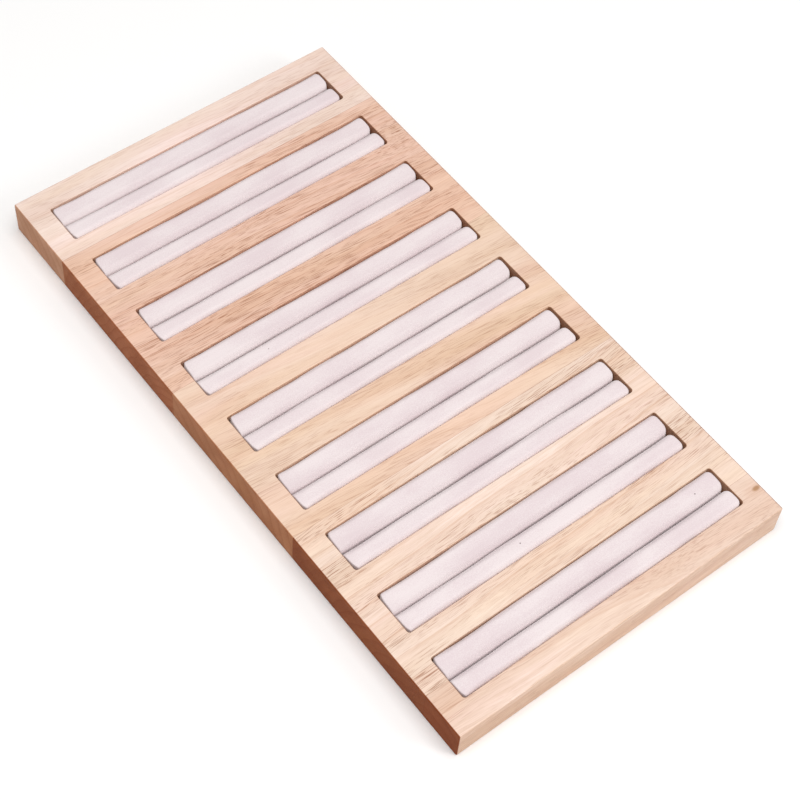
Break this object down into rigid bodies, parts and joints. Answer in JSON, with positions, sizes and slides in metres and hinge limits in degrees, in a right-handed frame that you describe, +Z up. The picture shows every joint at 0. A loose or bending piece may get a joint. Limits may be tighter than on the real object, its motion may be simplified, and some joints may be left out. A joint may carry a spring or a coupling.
{
  "type": "jewelry tray",
  "caption": "Flat wooden ring tray: a routed board of edge-glued staves with parallel pockets, each holding two fabric-covered foam rolls that grip rings between them.",
  "frame": {"origin": "on the table, under the centre of the board's flat underside", "axes": "+X along the pockets and the grain, +Y along the board's length, +Z up"},
  "size_m": [0.1504, 0.28, 0.0154],
  "materials": {
    "wood_straw": "sanded, bare satin",
    "wood_rose": "sanded, bare satin",
    "wood_blush": "sanded, bare satin",
    "microfibre": "short matte nap",
    "foam": "cut foam, matte"
  },
  "bodies": {
    "board": {"board_stave_1": "wood_straw", "board_stave_2": "wood_rose", "board_stave_3": "wood_straw", "board_stave_4": "wood_blush", "board_stave_5": "wood_straw"},
    "ring_roll_1_back": {"roll_1_back_cover": "microfibre", "roll_1_back_core": "foam"},
    "ring_roll_1_front": {"roll_1_front_cover": "microfibre", "roll_1_front_core": "foam"},
    "ring_roll_2_back": {"roll_2_back_cover": "microfibre", "roll_2_back_core": "foam"},
    "ring_roll_2_front": {"roll_2_front_cover": "microfibre", "roll_2_front_core": "foam"},
    "ring_roll_3_back": {"roll_3_back_cover": "microfibre", "roll_3_back_core": "foam"},
    "ring_roll_3_front": {"roll_3_front_cover": "microfibre", "roll_3_front_core": "foam"},
    "ring_roll_4_back": {"roll_4_back_cover": "microfibre", "roll_4_back_core": "foam"},
    "ring_roll_4_front": {"roll_4_front_cover": "microfibre", "roll_4_front_core": "foam"},
    "ring_roll_5_back": {"roll_5_back_cover": "microfibre", "roll_5_back_core": "foam"},
    "ring_roll_5_front": {"roll_5_front_cover": "microfibre", "roll_5_front_core": "foam"},
    "ring_roll_6_back": {"roll_6_back_cover": "microfibre", "roll_6_back_core": "foam"},
    "ring_roll_6_front": {"roll_6_front_cover": "microfibre", "roll_6_front_core": "foam"},
    "ring_roll_7_back": {"roll_7_back_cover": "microfibre", "roll_7_back_core": "foam"},
    "ring_roll_7_front": {"roll_7_front_cover": "microfibre", "roll_7_front_core": "foam"},
    "ring_roll_8_back": {"roll_8_back_cover": "microfibre", "roll_8_back_core": "foam"},
    "ring_roll_8_front": {"roll_8_front_cover": "microfibre", "roll_8_front_core": "foam"},
    "ring_roll_9_back": {"roll_9_back_cover": "microfibre", "roll_9_back_core": "foam"},
    "ring_roll_9_front": {"roll_9_front_cover": "microfibre", "roll_9_front_core": "foam"}
  },
  "joints": [
    {"name": "lift_roll_1_back", "type": "slide", "parent": "board", "child": "ring_roll_1_back", "axis": [0, 0, 1], "range_m": [0, 0.02]},
    {"name": "lift_roll_1_front", "type": "slide", "parent": "board", "child": "ring_roll_1_front", "axis": [0, 0, 1], "range_m": [0, 0.02]},
    {"name": "lift_roll_2_back", "type": "slide", "parent": "board", "child": "ring_roll_2_back", "axis": [0, 0, 1], "range_m": [0, 0.02]},
    {"name": "lift_roll_2_front", "type": "slide", "parent": "board", "child": "ring_roll_2_front", "axis": [0, 0, 1], "range_m": [0, 0.02]},
    {"name": "lift_roll_3_back", "type": "slide", "parent": "board", "child": "ring_roll_3_back", "axis": [0, 0, 1], "range_m": [0, 0.02]},
    {"name": "lift_roll_3_front", "type": "slide", "parent": "board", "child": "ring_roll_3_front", "axis": [0, 0, 1], "range_m": [0, 0.02]},
    {"name": "lift_roll_4_back", "type": "slide", "parent": "board", "child": "ring_roll_4_back", "axis": [0, 0, 1], "range_m": [0, 0.02]},
    {"name": "lift_roll_4_front", "type": "slide", "parent": "board", "child": "ring_roll_4_front", "axis": [0, 0, 1], "range_m": [0, 0.02]},
    {"name": "lift_roll_5_back", "type": "slide", "parent": "board", "child": "ring_roll_5_back", "axis": [0, 0, 1], "range_m": [0, 0.02]},
    {"name": "lift_roll_5_front", "type": "slide", "parent": "board", "child": "ring_roll_5_front", "axis": [0, 0, 1], "range_m": [0, 0.02]},
    {"name": "lift_roll_6_back", "type": "slide", "parent": "board", "child": "ring_roll_6_back", "axis": [0, 0, 1], "range_m": [0, 0.02]},
    {"name": "lift_roll_6_front", "type": "slide", "parent": "board", "child": "ring_roll_6_front", "axis": [0, 0, 1], "range_m": [0, 0.02]},
    {"name": "lift_roll_7_back", "type": "slide", "parent": "board", "child": "ring_roll_7_back", "axis": [0, 0, 1], "range_m": [0, 0.02]},
    {"name": "lift_roll_7_front", "type": "slide", "parent": "board", "child": "ring_roll_7_front", "axis": [0, 0, 1], "range_m": [0, 0.02]},
    {"name": "lift_roll_8_back", "type": "slide", "parent": "board", "child": "ring_roll_8_back", "axis": [0, 0, 1], "range_m": [0, 0.02]},
    {"name": "lift_roll_8_front", "type": "slide", "parent": "board", "child": "ring_roll_8_front", "axis": [0, 0, 1], "range_m": [0, 0.02]},
    {"name": "lift_roll_9_back", "type": "slide", "parent": "board", "child": "ring_roll_9_back", "axis": [0, 0, 1], "range_m": [0, 0.02]},
    {"name": "lift_roll_9_front", "type": "slide", "parent": "board", "child": "ring_roll_9_front", "axis": [0, 0, 1], "range_m": [0, 0.02]}
  ]
}
